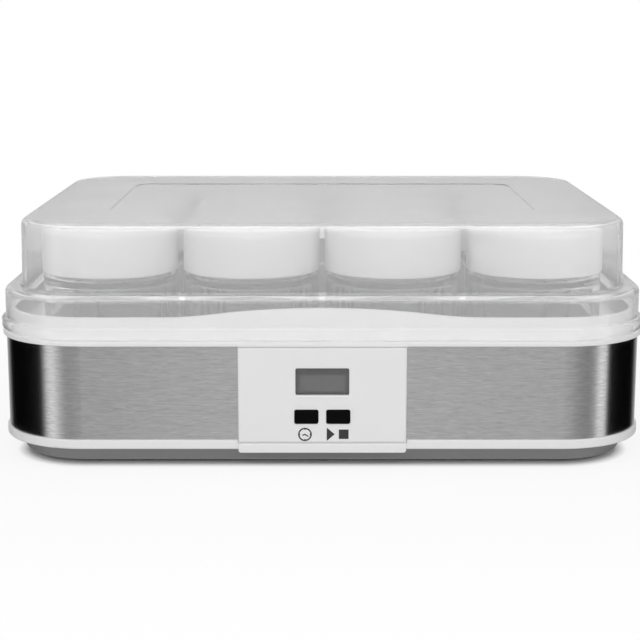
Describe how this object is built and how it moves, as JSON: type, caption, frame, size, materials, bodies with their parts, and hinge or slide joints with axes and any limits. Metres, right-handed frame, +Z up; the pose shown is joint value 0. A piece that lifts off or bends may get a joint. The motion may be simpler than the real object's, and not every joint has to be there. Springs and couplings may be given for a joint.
{
  "type": "yogurt maker",
  "caption": "Rectangular electric yogurt maker: heated base with a steel band and control panel, capped glass jars in its well, and a clear stepped lift-off cover.",
  "frame": {"origin": "middle of the footprint, on the table under the feet", "axes": "+X to the right seen from the front, the control panel faces -Y, +Z up"},
  "size_m": [0.3446, 0.272, 0.1273],
  "materials": {
    "grey_plastic": "fine moulded texture",
    "white_plastic": "satin moulded",
    "brushed_steel": "brushed along the band",
    "plate_aluminium": "rolled",
    "heater_foil": "foil",
    "white_ceramic": "plain",
    "black_plastic": "plain",
    "lead_insulation": "silicone sleeve",
    "circuit_board": "solder mask",
    "transformer_steel": "laminated core with tape",
    "blue_plastic": "plain",
    "capacitor_sleeve": "shrink sleeve",
    "green_plastic": "plain",
    "connector_plastic": "plain",
    "window_plastic": "clear",
    "lcd_grey": "polariser",
    "screw_steel": "plated",
    "black_rubber": "moulded",
    "clear_plastic": "clear, polished",
    "button_plastic": "satin",
    "jar_glass": "clear",
    "cap_plastic": "satin moulded"
  },
  "bodies": {
    "base": {"base_pan": "grey_plastic", "trim_ring": "white_plastic", "steel_band": "brushed_steel", "top_housing": "white_plastic", "heating_plate": "plate_aluminium", "heater_foil": "heater_foil", "thermal_fuse": "white_ceramic", "temperature_sensor": "black_plastic", "sensor_lead": "lead_insulation", "heater_leads": "lead_insulation", "power_board": "circuit_board", "transformer": "transformer_steel", "relay": "blue_plastic", "capacitor": "capacitor_sleeve", "terminal_block": "green_plastic", "lead_connectors": "connector_plastic", "display_lead": "lead_insulation", "control_panel": "white_plastic", "display_window": "window_plastic", "lcd_module": "lcd_grey", "control_board": "circuit_board", "board_screws": "screw_steel", "housing_screws": "screw_steel", "cord_gland": "black_rubber", "timer_switch": "black_plastic", "start_switch": "black_plastic", "foot_front_left": "black_rubber", "foot_front_right": "black_rubber", "foot_rear_left": "black_rubber", "foot_rear_right": "black_rubber"},
    "cover": {"cover": "clear_plastic"},
    "timer_button": {"timer_button": "button_plastic", "timer_plunger": "black_plastic"},
    "start_button": {"start_button": "button_plastic", "start_plunger": "black_plastic"},
    "jar_front_1": {"jar_front_1": "jar_glass"},
    "cap_front_1": {"cap_front_1": "cap_plastic"},
    "jar_front_2": {"jar_front_2": "jar_glass"},
    "cap_front_2": {"cap_front_2": "cap_plastic"},
    "jar_front_3": {"jar_front_3": "jar_glass"},
    "cap_front_3": {"cap_front_3": "cap_plastic"},
    "jar_front_4": {"jar_front_4": "jar_glass"},
    "cap_front_4": {"cap_front_4": "cap_plastic"},
    "jar_middle_1": {"jar_middle_1": "jar_glass"},
    "cap_middle_1": {"cap_middle_1": "cap_plastic"},
    "jar_middle_2": {"jar_middle_2": "jar_glass"},
    "cap_middle_2": {"cap_middle_2": "cap_plastic"},
    "jar_middle_3": {"jar_middle_3": "jar_glass"},
    "cap_middle_3": {"cap_middle_3": "cap_plastic"},
    "jar_middle_4": {"jar_middle_4": "jar_glass"},
    "cap_middle_4": {"cap_middle_4": "cap_plastic"},
    "jar_rear_1": {"jar_rear_1": "jar_glass"},
    "cap_rear_1": {"cap_rear_1": "cap_plastic"},
    "jar_rear_2": {"jar_rear_2": "jar_glass"},
    "cap_rear_2": {"cap_rear_2": "cap_plastic"},
    "jar_rear_3": {"jar_rear_3": "jar_glass"},
    "cap_rear_3": {"cap_rear_3": "cap_plastic"},
    "jar_rear_4": {"jar_rear_4": "jar_glass"},
    "cap_rear_4": {"cap_rear_4": "cap_plastic"}
  },
  "joints": [
    {"name": "cover_lift", "type": "slide", "parent": "base", "child": "cover", "axis": [0, 0, 1], "range_m": [0, 0.12]},
    {"name": "timer_press", "type": "slide", "parent": "base", "child": "timer_button", "axis": [0, 1, 0], "range_m": [0, 0.0008], "stiffness_N_per_m": 1500},
    {"name": "start_press", "type": "slide", "parent": "base", "child": "start_button", "axis": [0, 1, 0], "range_m": [0, 0.0008], "stiffness_N_per_m": 1500},
    {"name": "jar_front_1_lift", "type": "slide", "parent": "base", "child": "jar_front_1", "axis": [0, 0, 1], "range_m": [0, 0.003]},
    {"name": "cap_front_1_turn", "type": "hinge", "parent": "jar_front_1", "child": "cap_front_1", "pos_m": [-0.1152, -0.0768, 0.1], "axis": [0, 0, 1], "range_deg": [0, 45]},
    {"name": "jar_front_2_lift", "type": "slide", "parent": "base", "child": "jar_front_2", "axis": [0, 0, 1], "range_m": [0, 0.003]},
    {"name": "cap_front_2_turn", "type": "hinge", "parent": "jar_front_2", "child": "cap_front_2", "pos_m": [-0.0384, -0.0768, 0.1], "axis": [0, 0, 1], "range_deg": [0, 45]},
    {"name": "jar_front_3_lift", "type": "slide", "parent": "base", "child": "jar_front_3", "axis": [0, 0, 1], "range_m": [0, 0.003]},
    {"name": "cap_front_3_turn", "type": "hinge", "parent": "jar_front_3", "child": "cap_front_3", "pos_m": [0.0384, -0.0768, 0.1], "axis": [0, 0, 1], "range_deg": [0, 45]},
    {"name": "jar_front_4_lift", "type": "slide", "parent": "base", "child": "jar_front_4", "axis": [0, 0, 1], "range_m": [0, 0.003]},
    {"name": "cap_front_4_turn", "type": "hinge", "parent": "jar_front_4", "child": "cap_front_4", "pos_m": [0.1152, -0.0768, 0.1], "axis": [0, 0, 1], "range_deg": [0, 45]},
    {"name": "jar_middle_1_lift", "type": "slide", "parent": "base", "child": "jar_middle_1", "axis": [0, 0, 1], "range_m": [0, 0.003]},
    {"name": "cap_middle_1_turn", "type": "hinge", "parent": "jar_middle_1", "child": "cap_middle_1", "pos_m": [-0.1152, 0, 0.1], "axis": [0, 0, 1], "range_deg": [0, 45]},
    {"name": "jar_middle_2_lift", "type": "slide", "parent": "base", "child": "jar_middle_2", "axis": [0, 0, 1], "range_m": [0, 0.003]},
    {"name": "cap_middle_2_turn", "type": "hinge", "parent": "jar_middle_2", "child": "cap_middle_2", "pos_m": [-0.0384, 0, 0.1], "axis": [0, 0, 1], "range_deg": [0, 45]},
    {"name": "jar_middle_3_lift", "type": "slide", "parent": "base", "child": "jar_middle_3", "axis": [0, 0, 1], "range_m": [0, 0.003]},
    {"name": "cap_middle_3_turn", "type": "hinge", "parent": "jar_middle_3", "child": "cap_middle_3", "pos_m": [0.0384, 0, 0.1], "axis": [0, 0, 1], "range_deg": [0, 45]},
    {"name": "jar_middle_4_lift", "type": "slide", "parent": "base", "child": "jar_middle_4", "axis": [0, 0, 1], "range_m": [0, 0.003]},
    {"name": "cap_middle_4_turn", "type": "hinge", "parent": "jar_middle_4", "child": "cap_middle_4", "pos_m": [0.1152, 0, 0.1], "axis": [0, 0, 1], "range_deg": [0, 45]},
    {"name": "jar_rear_1_lift", "type": "slide", "parent": "base", "child": "jar_rear_1", "axis": [0, 0, 1], "range_m": [0, 0.003]},
    {"name": "cap_rear_1_turn", "type": "hinge", "parent": "jar_rear_1", "child": "cap_rear_1", "pos_m": [-0.1152, 0.0768, 0.1], "axis": [0, 0, 1], "range_deg": [0, 45]},
    {"name": "jar_rear_2_lift", "type": "slide", "parent": "base", "child": "jar_rear_2", "axis": [0, 0, 1], "range_m": [0, 0.003]},
    {"name": "cap_rear_2_turn", "type": "hinge", "parent": "jar_rear_2", "child": "cap_rear_2", "pos_m": [-0.0384, 0.0768, 0.1], "axis": [0, 0, 1], "range_deg": [0, 45]},
    {"name": "jar_rear_3_lift", "type": "slide", "parent": "base", "child": "jar_rear_3", "axis": [0, 0, 1], "range_m": [0, 0.003]},
    {"name": "cap_rear_3_turn", "type": "hinge", "parent": "jar_rear_3", "child": "cap_rear_3", "pos_m": [0.0384, 0.0768, 0.1], "axis": [0, 0, 1], "range_deg": [0, 45]},
    {"name": "jar_rear_4_lift", "type": "slide", "parent": "base", "child": "jar_rear_4", "axis": [0, 0, 1], "range_m": [0, 0.003]},
    {"name": "cap_rear_4_turn", "type": "hinge", "parent": "jar_rear_4", "child": "cap_rear_4", "pos_m": [0.1152, 0.0768, 0.1], "axis": [0, 0, 1], "range_deg": [0, 45]}
  ]
}
